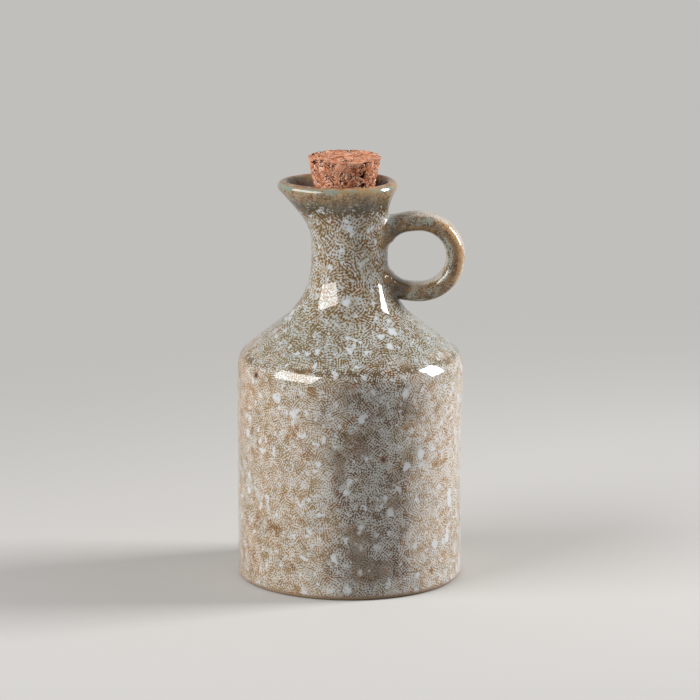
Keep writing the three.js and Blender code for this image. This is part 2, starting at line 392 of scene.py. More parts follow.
def fillet_line(side, end):
    """Points from the strap over the smoothed joint and down onto the wall, for one line of one root."""
    meeting_angle = angle_at_wall(side, end)
    meeting = strap_point(meeting_angle, side)
    towards_hole = (1 - math.cos(side)) / 2
    length = FILLET_OUTSIDE + (FILLET_INSIDE - FILLET_OUTSIDE) * towards_hole
    start_angle = meeting_angle - end * length / RING_STRETCH
    start = strap_point(start_angle, side)
    off = Vector((meeting.x, meeting.y, 0)).normalized()
    spread = meeting - ring_point(meeting_angle)
    spread = (spread - off * spread.dot(off)).normalized()
    landing = meeting + spread * length
    radius = wall_radius(landing.z) - FILLET_SINK
    landing.x = math.sqrt(radius ** 2 - landing.y ** 2)
    points = []
    for k in range(FILLET_STEPS + 1):
        t = k / FILLET_STEPS
        points.append(start * (1 - t) ** 2 + meeting * 2 * t * (1 - t) + landing * t ** 2)
    return start_angle, points


def handle_rings():
    """Rings of points along the handle, from inside the lower joint to inside the upper one."""
    sides = [2 * math.pi * k / STRAP_SIDES for k in range(STRAP_SIDES)]
    lower = [fillet_line(side, -1) for side in sides]
    upper = [fillet_line(side, 1) for side in sides]
    rings = [[strap_point(-REACH_ANGLE, side) for side in sides]]
    for k in range(FILLET_STEPS, -1, -1):
        rings.append([points[k] for _, points in lower])
    for i in range(1, STRAP_STEPS):
        ring = []
        for side, (low, _), (high, _) in zip(sides, lower, upper):
            ring.append(strap_point(low + (high - low) * i / STRAP_STEPS, side))
        rings.append(ring)
    for k in range(FILLET_STEPS + 1):
        rings.append([points[k] for _, points in upper])
    rings.append([strap_point(REACH_ANGLE, side) for side in sides])
    return rings


def handle_mesh():
    """The handle, extruded ring by ring along its line, with its joints to the wall smoothed over."""
    bm = bmesh.new()
    place = bm.verts.layers.int.new("place")
    outer_face = bm.verts.layers.float.new("outer_face")
    verts = bmesh.ops.create_circle(bm, segments=STRAP_SIDES, radius=STRAP_WIDTH, cap_ends=True)["verts"]
    for k, vert in enumerate(verts):
        vert[place] = k
        side = math.cos(2 * math.pi * k / STRAP_SIDES)
        vert[outer_face] = math.copysign(abs(side) ** (2 / STRAP_SQUARENESS), side)
    edges = bm.edges[:]
    rings = handle_rings()
    for i, ring in enumerate(rings):
        if i:
            made = bmesh.ops.extrude_edge_only(bm, edges=edges)["geom"]
            verts = [part for part in made if isinstance(part, bmesh.types.BMVert)]
            edges = [part for part in made if isinstance(part, bmesh.types.BMEdge)]
        for vert in verts:
            vert.co = ring[vert[place]]
    bmesh.ops.contextual_create(bm, geom=edges)
    bmesh.ops.recalc_face_normals(bm, faces=bm.faces[:])
    bm.verts.layers.int.remove(place)
    return bm


def cell_value(cell, seed):
    """A fixed number from 0 to 1 for one granule or pit."""
    return noise.cell(cell * CELL_STRIDE + SEED_STRIDE * seed) / 2 + 0.5


def granule_at(place):
    """Tone of the granule at a point, how far its tilted face lies back, and how open the crevice is."""
    bent = place / GRANULE
    bent += Vector([noise.noise(bent + shift) for shift in BEND_SHIFTS]) * GRANULE_BEND
    distances, cells = noise.voronoi(bent)
    leaning = Vector([cell_value(cells[0], seed) - 0.5 for seed in TILT_SEEDS])
    tilt = (bent - cells[0]).dot(leaning)
    gaping = ramp(noise.noise(place / GAPING_LENGTH + GAPING_SHIFT), *GAPING_LEVELS)
    crevice = (1 - ramp(distances[1] - distances[0], *CREVICE_WIDTH)) * gaping
    return cell_value(cells[0], TONE_SEED), max(tilt, 0.0), crevice


def flake_at(place):
    """Furrows between the flakes, from 0 on a flake to 1 in a furrow, wider where the cork is worn."""
    worn = ramp(noise.noise(place / WEAR_LENGTH + WEAR_SHIFT), *WEAR_LEVELS)
    width = FURROW_WIDTH + WORN_FURROW_WIDENING * worn
    fine_width = FINE_FURROW_WIDTH + WORN_FINE_FURROW_WIDENING * worn
    furrow = 1 - ramp(abs(noise.noise(place / FLAKE)), 0.0, width)
    fine_furrow = 1 - ramp(abs(noise.noise(place / FINE_FLAKE + FINE_FLAKE_SHIFT)), 0.0, fine_width)
    return max(furrow, FINE_FLAKE_SHARE * fine_furrow)


def pit_at(place, top):
    """Depth of the small pits, from 0 to 1. They lie closest below the top rim."""
    distances, cells = noise.voronoi(place / PIT_SPACING)
    below = top - place.z
    at_rim = (1 - ramp(below, *PITTED_BELOW_RIM)) * ramp(below, 0.0, UNPITTED_RIM)
    kept = cell_value(cells[0], PIT_SEED) > PITS_LEFT_OUT - PITS_ADDED_AT_RIM * at_rim
    size = PIT_SIZE + PIT_SIZE_SPREAD * cell_value(cells[0], PIT_SIZE_SEED)
    return (1 - ramp(distances[0], size / 2, size)) * kept


def chip_at(place, top):
    """How much of the worn top rim has broken off, from 0 to 1."""
    from_rim = (CORK_TOP_RADIUS - math.hypot(place.x, place.y)) + (top - place.z)
    broken = ramp(noise.noise(place / CHIP_LENGTH + CHIP_SHIFT), *CHIP_LEVELS)
    return broken * (1 - ramp(from_rim, *CHIP_FADE))


def cork_mesh():
    """The cork, its granules, flakes, pits and chips cut into the plain plug."""
    top = cork_high.z
    bottom = cork_low.z
    bottom_radius = CORK_TOP_RADIUS - CORK_TAPER * (top - bottom)
    bm = bmesh.new()
    granule = bm.verts.layers.float.new("granule")
    flake = bm.verts.layers.float.new("flake")
    pit = bm.verts.layers.float.new("pit")
    middle = (top + bottom) / 2
    middle_radius = (CORK_TOP_RADIUS + bottom_radius) / 2
    lower = [(0, bottom, 0), (bottom_radius, bottom, CORK_EDGE_ROUND), (middle_radius, middle, 0)]
    upper = [(middle_radius, middle, 0), (CORK_TOP_RADIUS, top, CORK_EDGE_ROUND), (0, top, 0)]
    tip = draw_outline(bm, lower, step=LOWER_CORK_STEP)
    draw_outline(bm, upper, step=CORK_STEP, tip=tip)
    turn_outline(bm, CORK_TURNED_STEPS)
    bm.normal_update()
    moves = []
    for vert in bm.verts:
        tone, tilt, crevice = granule_at(vert.co)
        hole = pit_at(vert.co, top)
        hollow = flake_at(vert.co)
        depth = CREVICE_DEPTH * crevice + PIT_DEPTH * hole + FLAKE_DEPTH * hollow
        depth += GRANULE_TILT * tilt + RIM_CHIP * chip_at(vert.co, top)
        vert[granule] = tone
        vert[flake] = hollow
        vert[pit] = max(hole, CREVICE_SHADE * crevice)
        inwards = -vert.normal
        if abs(inwards.z) < SIDE_SLOPE:
            inwards.z = 0
        moves.append((vert, vert.co + inwards * depth))
    for vert, target in moves:
        vert.co = target + CORK_AXIS
    return bm


def srgb(red, green, blue):
    """Linear colour of a screen colour written from 0 to 255."""
    linear = []
    for level in (red, green, blue):
        level /= 255
        linear.append(level / 12.92 if level <= 0.04045 else ((level + 0.055) / 1.055) ** 2.4)
    return (*linear, 1.0)


FLOOR_COLOUR = srgb(206, 204, 201)
FAR_FLOOR_COLOUR = srgb(192, 191, 188)
FLOOR_BOUNCE_COLOUR = srgb(124, 123, 121)

MILLIMETRE = 0.001
MIDDLE_GREY = (0.5, 0.5, 0.5)
GABOR_ORIENTATION_3D = 5


class Finish:
    """One material and short ways to add its nodes. Places and lengths are in millimetres."""

    def __init__(self, name):
        self.material = bpy.data.materials.new(name)
        self.material.use_nodes = True
        self.tree = self.material.node_tree
        self.shader = self.tree.nodes["Principled BSDF"]
        coordinates = self.node("ShaderNodeTexCoord", {})
        self.normal = coordinates.outputs["Normal"]
        self.place = self.scale(coordinates.outputs["Object"], 1 / MILLIMETRE)

    def node(self, kind, inputs, **settings):
        made = self.tree.nodes.new(kind)
        for name, value in settings.items():
            setattr(made, name, value)
        for name, value in inputs.items():
            self.feed(made.inputs[name], value)
        return made

    def feed(self, socket, value):
        if isinstance(value, bpy.types.NodeSocket):
            self.tree.links.new(value, socket)
        else:
            socket.default_value = value

    def give(self, name, value):
        """Gives the shader's own socket a value or another node's output."""
        self.feed(self.shader.inputs[name], value)

    def math(self, operation, a, b=0.0):
        return self.node("ShaderNodeMath", {0: a, 1: b}, operation=operation).outputs[0]

    def add(self, a, b):
        return self.math("ADD", a, b)

    def times(self, a, b):
        return self.math("MULTIPLY", a, b)

    def without(self, share):
        return self.math("SUBTRACT", 1.0, share)

    def apart(self, a, b):
        return self.math("ABSOLUTE", self.math("SUBTRACT", a, b))

    def vector(self, operation, a, b=(0, 0, 0)):
        return self.node("ShaderNodeVectorMath", {0: a, 1: b}, operation=operation).outputs[0]

    def scale(self, vector, amount):
        return self.node("ShaderNodeVectorMath", {0: vector, "Scale": amount}, operation="SCALE").outputs[0]

    def distance(self, point):
        made = self.node("ShaderNodeVectorMath", {0: self.place, 1: point}, operation="DISTANCE")
        return made.outputs["Value"]

    def attribute(self, name):
        return self.node("ShaderNodeAttribute", {}, attribute_name=name).outputs["Fac"]

    def step(self, value, low, high, start=0.0, end=1.0):
        """Smooth step from start at low to end at high."""
        inputs = {"Value": value, "From Min": low, "From Max": high, "To Min": start, "To Max": end}
        return self.node("ShaderNodeMapRange", inputs, interpolation_type="SMOOTHSTEP").outputs[0]

    def mix(self, share, a, b):
        return self.node("ShaderNodeMix", {0: share, 6: a, 7: b}, data_type="RGBA").outputs[2]

    def wash(self, colour, share, paint, strength=1.0):
        """A colour with a share of a paint over it."""
        if strength != 1.0:
            share = self.times(share, strength)
        return self.mix(share, colour, paint)

    def noise(self, length, seed, detail, place=None, output="Fac"):
        inputs = {"Vector": place or self.place, "W": seed, "Scale": 1 / length, "Detail": detail}
        return self.node("ShaderNodeTexNoise", inputs, noise_dimensions="4D").outputs[output]

    def push(self, length, seed, detail):
        """A noise of directions about zero."""
        return self.vector("SUBTRACT", self.noise(length, seed, detail, output="Color"), MIDDLE_GREY)

    def pushed_place(self, push, amount):
        """Places pushed about by a noise, so that round shapes on them turn irregular."""
        return self.vector("ADD", self.place, self.scale(push, amount))

    def patches(self, length, seed, detail, low, high):
        """Patches of a noise, from 0 where it is low to 1 where it is high."""
        return self.step(self.noise(length, seed, detail), low, high)

    def swing(self, value, size):
        """A value about 0.5, brought to a size either side of 0."""
        return self.times(self.math("SUBTRACT", value, 0.5), size)

    def wander(self, length, seed, detail, size):
        """A noise that swings about 0."""
        return self.swing(self.noise(length, seed, detail), size)

    def cells(self, place, spacing):
        """Scattered points: the distance to the nearest one and a colour of its own for each."""
        return self.node("ShaderNodeTexVoronoi", {"Vector": place, "Scale": 1 / spacing}).outputs

    def channel(self, colour, name):
        return self.node("ShaderNodeSeparateColor", {0: colour}).outputs[name]

    def unevenness(self, length, seed, detail, size):
        """Normals of a slightly uneven surface."""
        rise = self.times(self.noise(length, seed, detail), size)
        return self.node("ShaderNodeBump", {"Height": rise, "Distance": MILLIMETRE}).outputs[0]


# Crystals of the glaze: fans of strokes, and the strokes' breaks, which part them into dots. A noise is given
# by its length, seed and detail, and a wander by the size of its swing as well.
FAN_SIZE = 2.7
FAN_PUSH = (3.0, 1.0, 2.0)
FAN_BEND = 3.0
STROKE_TURN = 0.6
STROKE_PITCH = 0.92
STROKE_WAVES = 2.2
COARSER_WAVES = 0.55
DOT_PITCH = 1.1
WOBBLE_PUSH = (1.5, 8.0, 3.0)
WOBBLE = 0.7
STROKE_BREAKS = 0.40
DOT_BREAKS = 0.60
DOT_THINNING = 0.45
BREAK_WANDER = (1.3, 6.0, 1.0, 2.6)
SPECK_CHANCE = (0.6, 0.75)

# Gloss of the glaze; it is rougher on the crystals than between them
GLAZE_ROUGHNESS = (-1.5, 1.5, 0.38, 0.22)
GLAZE_SPECULAR = 0.05
COAT_ROUGHNESS = 0.04
COAT_IOR = 1.65


class Glaze(Finish):
    """What the glazes of the bottle and the handle have in common: crystals, iron specks and gloss."""

    def __init__(self, name):
        super().__init__(name)
        directions = self.node("ShaderNodeSeparateXYZ", {0: self.place})
        self.across = directions.outputs["X"]
        self.height = directions.outputs["Z"]

    def grating(self, place, direction, pitch, waves):
        """Even rows of strokes that follow a direction: -1 in their middles, 1 half-way between them."""
        inputs = {"Vector": place, "Scale": 1 / (pitch * STROKE_WAVES), "Frequency": waves}
        inputs["Anisotropy"] = 1.0
        inputs[GABOR_ORIENTATION_3D] = direction
        phase = self.node("ShaderNodeTexGabor", inputs, gabor_type="3D").outputs["Phase"]
        return self.math("COSINE", self.times(phase, 2 * math.pi))

    def crystal_field(self, dotted, coarse):
        """Fine crystals, negative on them, positive between: strokes that turn from fan to fan, or dots."""
        waves = self.math("SUBTRACT", STROKE_WAVES, self.times(coarse, COARSER_WAVES))
        push = self.push(*FAN_PUSH)
        fans = self.cells(self.pushed_place(push, FAN_BEND), FAN_SIZE)
        heading = self.vector("SUBTRACT", fans["Color"], MIDDLE_GREY)
        heading = self.vector("ADD", heading, self.scale(push, STROKE_TURN))
        along = self.vector("NORMALIZE", self.vector("CROSS_PRODUCT", self.normal, heading))
        aslant = self.vector("CROSS_PRODUCT", self.normal, along)
        wobbly = self.pushed_place(self.push(*WOBBLE_PUSH), WOBBLE)
        strokes = self.grating(wobbly, along, STROKE_PITCH, waves)
        breaks = self.grating(wobbly, aslant, DOT_PITCH, waves)
        break_share = self.add(self.times(dotted, DOT_BREAKS), STROKE_BREAKS)
        field = self.add(strokes, self.times(breaks, break_share))
        field = self.add(field, self.wander(*BREAK_WANDER))
        return self.add(field, self.times(dotted, DOT_THINNING))

    def specks(self, spacing, size):
        """Few dark specks, of a size given as a share of their spacing."""
        cells = self.cells(self.place, spacing)
        chosen = self.step(self.channel(cells["Color"], "Green"), *SPECK_CHANCE)
        return self.times(self.step(cells["Distance"], size, size / 2), chosen)

    def gloss(self, coat, field, relief):
        """Clear, slightly uneven gloss over the colour."""
        normals = self.unevenness(*relief)
        self.give("Roughness", self.step(field, *GLAZE_ROUGHNESS))
        self.give("Coat Weight", coat)
        self.give("Normal", normals)
        self.give("Coat Normal", normals)
        self.give("Specular IOR Level", GLAZE_SPECULAR)
        self.give("Coat Roughness", COAT_ROUGHNESS)
        self.give("Coat IOR", COAT_IOR)


# Zones of the bottle's glaze and of its painted shade: heights, or places across it, where each begins and
# where it is full
SHOULDER_FADE = (79.0, 94.0)
COARSE_FADE = (82.0, 100.0)
NECK_FADE = (94.0, 118.0)
# Painted shade: a darker column down the front and the back, centred 7 mm towards +X, weaker above the
# shoulder
PAINTED_SHADE_MIDDLE = 7.0
PAINTED_SHADE_FADE = (26.0, 6.0)
PAINTED_SHADE_LOST_ABOVE = 0.6
RIGHT_FADE = (6.0, 26.0)
WARM_FADE = (-22.0, -42.0)
SHOULDER_EDGE = 87.6
EDGE_FADE = (2.0, 0.2)
NEAR_BAND_FADE = (139.5, 145.5)
LOW_BAND_FADE = (143.5, 146.5)
HIGH_BAND_FADE = (146.0, 150.0)
RIM_FADE = (151.0, 152.4)
CREST_FADE = (153.0, 153.6)
INSIDE_FADE = (153.8, 151.0)
FAR_THROAT_FADE = (-15.0, 2.0)
FOOT_FADE = (2.6, 0.8)

# Noise that moves the zones' borders and the crystals' density
LEVEL_WANDER = (2.2, 9.0, 4.0, 6.0)
SHOULDER_WANDER = (8.0, 19.0, 3.0, 22.0)
CLOUDS = (15.0, 10.0, 3.0)
PAINTED_SHADE_SWING = 40.0
RIGHT_SWING = 30.0
DOT_WANDER = (4.0, 2.0, 1.0, 1.0)
DENSITY_WANDER = (4.0, 5.0, 3.0, 3.6)

# Patches: length, seed, detail, and the noise where they begin and where they are full
RUST_PATCHES = (4.0, 13.0, 3.0, 0.58, 0.70)
EDGE_PATCHES = (9.0, 11.0, 2.0, 0.36, 0.52)
WARM_PATCHES = (12.0, 18.0, 2.0, 0.36, 0.60)
TAN_PATCHES = (4.5, 28.0, 3.0, 0.46, 0.60)
SMOKE_AND_SHADE_PATCHES = (9.0, 17.0, 3.0, 0.48, 0.64)
GREY_SMOKE_PATCHES = (6.0, 27.0, 2.0, 0.42, 0.58)
OLIVE_PATCHES = (7.0, 6.0, 2.0, 0.46, 0.60)
PALE_FLECKS = (2.6, 4.0, 2.0, 0.60, 0.70)
RIM_PATCHES = (6.0, 15.0, 4.0, 0.44, 0.56)
CREST_PATCHES = (3.0, 16.0, 4.0, 0.40, 0.60)

# Pale spots: ragged and small at the left, rounder and larger at the right, a little run down the wall
SPOT_SPACING = 5.4
SPOT_RUN = 0.8
SPOT_PUSH = (1.8, 3.0, 3.0)
SPOT_RAGGEDNESS = (-8.0, 16.0, 4.0, 2.0)
SPOT_SIZE = (-16.0, 12.0, 0.24, 0.30)
SPOT_SIZE_SPREAD = 1.5
SPOT_EDGE = (0.14, -0.10)
PALE_FLECK_SHARE = 0.8

# Places of rust marks at the left; the first four run together to a streak
RUST_MARKS = [
    (-39.0, -18.0, 26.0), (-35.0, -25.0, 26.8), (-30.4, -30.4, 26.4), (-26.9, -33.5, 24.8),
    (-23.1, -36.3, 12.9), (-16.2, -39.8, 56.8), (-41.0, -13.0, 65.2),
]
STAIN_WANDER = (1.8, 29.0, 4.0, 9.0)
STAIN_FADE = (3.4, 0.6)
STAIN_SHARE = 0.65

# Places of two larger iron spots, the fading of their halos, and the spacing and size of the specks
IRON_SPOTS = [(12.7, -41.1, 54.6), (-35.4, -24.2, 83.4)]
HALO_FADE = (2.2, 0.8)
IRON_FADE = (1.0, 0.5)
BODY_SPECKS = (9.0, 0.06)
RIM_SPECKS = (2.4, 0.2)
CREST_SPECKS = (2.0, 0.2)
THROAT_SPECKS = (2.2, 0.18)

# How much thicker the crystals lie in a zone, or thinner in the pale spots
PAINTED_SHADE_DOTS = 0.06
DOT_FADE = (-0.01, 0.09)
SPOT_THINNING = 2.8
RUST_THICKENING = 0.5
STAIN_THICKENING = 0.7
EDGE_THICKENING = 0.9
BAND_THICKENING = 1.2
LEFT_THICKENING = 0.18
STROKE_FADE = (0.5, 0.0)
CORE_FADE = (-0.5, -1.2)
CORE_SHARE = 0.9

# Glaze colours by zone: pale ground, strokes and their cores. The darker tones of the front and back column
# are painted shade
LEFT_TONES = srgb(213, 210, 206), srgb(185, 162, 128), srgb(144, 106, 60)
# The right side's paler tones are partly the glaze's own paler tone and partly painted light
RIGHT_TONES = srgb(222, 219, 217), srgb(192, 164, 126), srgb(156, 114, 66)
SHOULDER_TONES = srgb(184, 191, 192), srgb(147, 130, 91), srgb(106, 82, 44)
NECK_TONES = srgb(198, 203, 204), srgb(158, 128, 79), srgb(106, 72, 28)
PAINTED_SHADE_TONES = srgb(184, 184, 180), srgb(108, 72, 28), srgb(48, 24, 4)

# Washes over the ground, the strokes and the cores: colour and strength
WARM_GROUND = srgb(222, 190, 156), 0.5
TAN_GROUND = srgb(178, 160, 124), 0.5
SPOT_GROUND = srgb(224, 227, 232), 0.7
STAINED_GROUND = srgb(186, 144, 88), 0.6
# Smoke: brown and grey clouds inside the painted shade, partly the glaze's own clouds and partly more painted
# shade
SMOKE_AND_SHADE_TONES = srgb(122, 86, 46), srgb(106, 98, 80)
SMOKE_AND_SHADE_STRENGTH = 0.72
WARM_STROKES = srgb(196, 142, 90), 0.6
OLIVE_STROKES = srgb(136, 126, 84), 0.5
RUST_STROKES = srgb(166, 108, 42), 0.7
STAINED_STROKES = srgb(142, 92, 34)
EDGE_STROKES = srgb(108, 86, 50)
RUST_CORES = srgb(120, 66, 18), 0.6
STAINED_CORES = srgb(100, 56, 14)
EDGE_CORES = srgb(72, 54, 28)
EDGE_STRENGTH = 0.6

# Washes over the crystals: colour and strength
IRON_HALO = srgb(132, 72, 30), 0.8
IRON = srgb(40, 18, 8)
SPECK = srgb(86, 44, 22), 0.9
FOOT_WASH = srgb(132, 84, 46), 0.8
BARE_CLAY = srgb(196, 170, 138)

# Bands below the rim, the rim, its crest and the inside: darker and lighter tones, strengths and specks
BAND_RUNS = (1.6, 14.0, 5.0)
BAND_RUN_LENGTH = 0.8
LOW_RUNS = (0.40, 0.66)
LOW_BAND_TONES = srgb(66, 54, 28), srgb(156, 156, 134)
LOW_BAND_STRENGTH = 0.42
HIGH_RUNS = (0.30, 0.66)
HIGH_BAND_TONES = srgb(116, 82, 42), srgb(198, 160, 112)
HIGH_BAND_STRENGTH = 0.85
BAND_GRAIN_FADE = (-0.2, -1.0)
BAND_GRAINS = srgb(78, 54, 26), 0.35
BAND_FLECK_FADE = (0.8, 1.4)
BAND_FLECKS = srgb(212, 196, 170), 0.5
RIM_TONES = srgb(164, 140, 92), srgb(138, 148, 136)
RIM_SPECK = srgb(84, 48, 20)
RIM_STRENGTH = 0.9
CREST_TONES = srgb(150, 98, 64), srgb(186, 146, 104)
CREST_SPECK = srgb(70, 44, 28)
CREST_STRENGTH = 0.85
THROAT = srgb(124, 108, 96)
THROAT_SPECK = srgb(54, 34, 24)
FAR_THROAT = srgb(60, 28, 12)
INSIDE_COAT_LOSS = 0.6
GLAZE_RELIEF = (2.5, 12.0, 1.0, 0.04)


class BottleGlaze(Glaze):
    """Pale glaze full of tan and brown crystals, with painted shade in front and behind, brown at its edges.
    """

    def __init__(self):
        super().__init__("reactive_glaze")
        self.level = self.add(self.height, self.wander(*LEVEL_WANDER))
        self.lay_zones()
        self.lay_marks()
        self.grow_crystals()
        inside = self.times(self.attribute("inside"), self.step(self.level, *INSIDE_FADE))
        bare = self.attribute("bare")
        colour = self.iron_spots(self.crystal_colour())
        colour = self.rim(self.bands(colour))
        colour = self.wash(colour, self.step(self.height, *FOOT_FADE), *FOOT_WASH)
        colour = self.mix(inside, colour, self.throat())
        colour = self.mix(bare, colour, BARE_CLAY)
        self.give("Base Color", colour)
        coat = self.without(self.times(inside, INSIDE_COAT_LOSS))
        self.gloss(self.times(coat, self.step(bare, 1.0, 0.0)), self.field, GLAZE_RELIEF)

    def lay_zones(self):
        """Shares of all above the shoulder's edge, the neck, the painted shade in front and behind, and the
        sides.
        """
        self.upper = self.step(self.add(self.level, self.wander(*SHOULDER_WANDER)), *SHOULDER_FADE)
        self.neck = self.step(self.level, *NECK_FADE)
        clouds = self.noise(*CLOUDS)
        from_middle = self.apart(self.across, PAINTED_SHADE_MIDDLE)
        painted_shade = self.step(self.add(from_middle, self.swing(clouds, PAINTED_SHADE_SWING)), *PAINTED_SHADE_FADE)
        self.painted_shade = self.times(painted_shade, self.without(self.times(self.upper, PAINTED_SHADE_LOST_ABOVE)))
        self.right = self.step(self.add(self.across, self.swing(clouds, RIGHT_SWING)), *RIGHT_FADE)
        self.left = self.times(self.without(self.right), self.without(self.painted_shade))

    def lay_marks(self):
        """Shares of the pale spots, the rust, the line at the shoulder's edge and the rim band's fringe."""
        self.spots = self.pale_spots()
        self.rust = self.patches(*RUST_PATCHES)
        self.stains = self.rust_stains()
        line = self.step(self.apart(self.height, SHOULDER_EDGE), *EDGE_FADE)
        self.edge = self.times(line, self.patches(*EDGE_PATCHES))
        self.near_band = self.step(self.level, *NEAR_BAND_FADE)

    def pale_spots(self):
        """Pale spots where the crystals thin out, with small flecks between them."""
        place = self.pushed_place(self.push(*SPOT_PUSH), self.step(self.across, *SPOT_RAGGEDNESS))
        cells = self.cells(self.vector("MULTIPLY", place, (1.0, 1.0, SPOT_RUN)), SPOT_SPACING)
        size = self.math("POWER", self.channel(cells["Color"], "Red"), SPOT_SIZE_SPREAD)
        size = self.times(size, self.step(self.across, *SPOT_SIZE))
        spots = self.step(self.math("SUBTRACT", cells["Distance"], size), *SPOT_EDGE)
        return self.math("MAXIMUM", spots, self.times(self.patches(*PALE_FLECKS), PALE_FLECK_SHARE))

    def rust_stains(self):
        """Ragged stains round the places of the rust marks."""
        ragged = self.wander(*STAIN_WANDER)
        stains = 0.0
        for place in RUST_MARKS:
            near = self.add(self.distance(place), ragged)
            stains = self.math("MAXIMUM", stains, self.step(near, *STAIN_FADE))
        return self.times(stains, STAIN_SHARE)

    def grow_crystals(self):
        """The crystals, and the field that says how thick they lie."""
        dotted = self.add(self.wander(*DOT_WANDER), self.times(self.painted_shade, PAINTED_SHADE_DOTS))
        coarse = self.step(self.level, *COARSE_FADE)
        self.crystals = self.crystal_field(self.step(dotted, *DOT_FADE), coarse)
        self.field = self.add(self.crystals, self.wander(*DENSITY_WANDER))
        self.field = self.add(self.field, self.times(self.spots, SPOT_THINNING))
        thickenings = [
            (self.rust, RUST_THICKENING), (self.stains, STAIN_THICKENING), (self.edge, EDGE_THICKENING),
            (self.near_band, BAND_THICKENING), (self.left, LEFT_THICKENING),
        ]
        for share, amount in thickenings:
            self.field = self.math("SUBTRACT", self.field, self.times(share, amount))

    def zone_tones(self):
        """Pale ground, strokes and cores, each blended from zone to zone."""
        tones = []
        zones = zip(LEFT_TONES, RIGHT_TONES, SHOULDER_TONES, NECK_TONES, PAINTED_SHADE_TONES)
        for left, right, shoulder, neck, painted_shade in zones:
            sides = self.mix(self.right, left, right)
            above = self.mix(self.neck, shoulder, neck)
            tones.append(self.mix(self.painted_shade, self.mix(self.upper, sides, above), painted_shade))
        return tones

    def crystal_colour(self):
        """The ground, with strokes and their cores on it, each with its own washes."""
        ground, strokes, cores = self.zone_tones()
        warmth = self.times(self.step(self.across, *WARM_FADE), self.patches(*WARM_PATCHES))
        tan = self.times(self.patches(*TAN_PATCHES), self.neck)
        # Smoke clouds darken only the painted shade: partly glaze clouds, partly more painted shade
        smoke_and_shade = self.times(self.patches(*SMOKE_AND_SHADE_PATCHES), self.painted_shade)
        smoke_colour = self.mix(self.patches(*GREY_SMOKE_PATCHES), *SMOKE_AND_SHADE_TONES)
        edges = self.math("MAXIMUM", self.times(self.edge, EDGE_STRENGTH), self.near_band)
        ground = self.wash(ground, warmth, *WARM_GROUND)
        ground = self.wash(ground, tan, *TAN_GROUND)
        ground = self.wash(ground, smoke_and_shade, smoke_colour, SMOKE_AND_SHADE_STRENGTH)
        ground = self.wash(ground, self.spots, *SPOT_GROUND)
        ground = self.wash(ground, self.stains, *STAINED_GROUND)
        strokes = self.wash(strokes, warmth, *WARM_STROKES)
        strokes = self.wash(strokes, self.patches(*OLIVE_PATCHES), *OLIVE_STROKES)
        strokes = self.wash(strokes, self.rust, *RUST_STROKES)
        strokes = self.wash(strokes, self.stains, STAINED_STROKES)
        strokes = self.wash(strokes, edges, EDGE_STROKES)
        cores = self.wash(cores, self.rust, *RUST_CORES)
        cores = self.wash(cores, self.stains, STAINED_CORES)
        cores = self.wash(cores, edges, EDGE_CORES)
        colour = self.mix(self.step(self.field, *STROKE_FADE), ground, strokes)
        return self.wash(colour, self.step(self.field, *CORE_FADE), cores, CORE_SHARE)

    def iron_spots(self, colour):
        """Two larger iron spots with rusty halos, and specks all over."""
        for place in IRON_SPOTS:
            near = self.distance(place)
            colour = self.wash(colour, self.step(near, *HALO_FADE), *IRON_HALO)
            colour = self.wash(colour, self.step(near, *IRON_FADE), IRON)
        return self.wash(colour, self.specks(*BODY_SPECKS), *SPECK)

    def bands(self, colour):
        """The dark band below the flare and the tan one above it, both with runs in them."""
        place = self.vector("MULTIPLY", self.place, (1.0, 1.0, BAND_RUN_LENGTH))
        runs = self.noise(*BAND_RUNS, place=place)
        low = self.mix(self.step(runs, *LOW_RUNS), *LOW_BAND_TONES)
        colour = self.wash(colour, self.step(self.level, *LOW_BAND_FADE), low, LOW_BAND_STRENGTH)
        high = self.mix(self.step(runs, *HIGH_RUNS), *HIGH_BAND_TONES)
        high = self.wash(high, self.step(self.crystals, *BAND_GRAIN_FADE), *BAND_GRAINS)
        high = self.wash(high, self.step(self.crystals, *BAND_FLECK_FADE), *BAND_FLECKS)
        return self.wash(colour, self.step(self.level, *HIGH_BAND_FADE), high, HIGH_BAND_STRENGTH)

    def rim(self, colour):
        """The lip's cool, speckled rim and its warm crest, where the glaze has run thin."""
        cool = self.mix(self.patches(*RIM_PATCHES), *RIM_TONES)
        cool = self.wash(cool, self.specks(*RIM_SPECKS), RIM_SPECK)
        colour = self.wash(colour, self.step(self.level, *RIM_FADE), cool, RIM_STRENGTH)
        warm = self.mix(self.patches(*CREST_PATCHES), *CREST_TONES)
        warm = self.wash(warm, self.specks(*CREST_SPECKS), CREST_SPECK)
        return self.wash(colour, self.step(self.height, *CREST_FADE), warm, CREST_STRENGTH)

    def throat(self):
        """The inside: speckled grey-brown under the lip's tip, dark brown towards the handle."""
        colour = self.mix(self.specks(*THROAT_SPECKS), THROAT, THROAT_SPECK)
        return self.wash(colour, self.step(self.across, *FAR_THROAT_FADE), FAR_THROAT)


# Handle glaze: wandering of its bands along the strap and of the zones' borders, and the crystals on it
STRAP_WANDER = (4.0, 21.0, 4.0, 1.0)
BAND_WANDERING = 0.6
ASIDE_WANDERING = 8.0
LOW_WANDERING = 12.0
ROOT_WANDERING = 10.0
POOL_WANDERING = 4.0
STRAP_DOTS = (4.0, 22.0, 2.0, 0.4, 0.5)
STRAP_DENSITY_WANDER = (3.0, 23.0, 4.0, 8.0)
STRAP_MARK_FADE = (0.2, -0.9)
PALE_MARK_FADE = (0.2, -1.2)
STRAP_RUST_PATCHES = (2.6, 26.0, 4.0, 0.42, 0.62)
STRAP_RUST_SHARE = 0.9
STRAP_SPECKS = (3.0, 0.14)
STRAP_RELIEF = (2.5, 25.0, 1.0, 0.04)

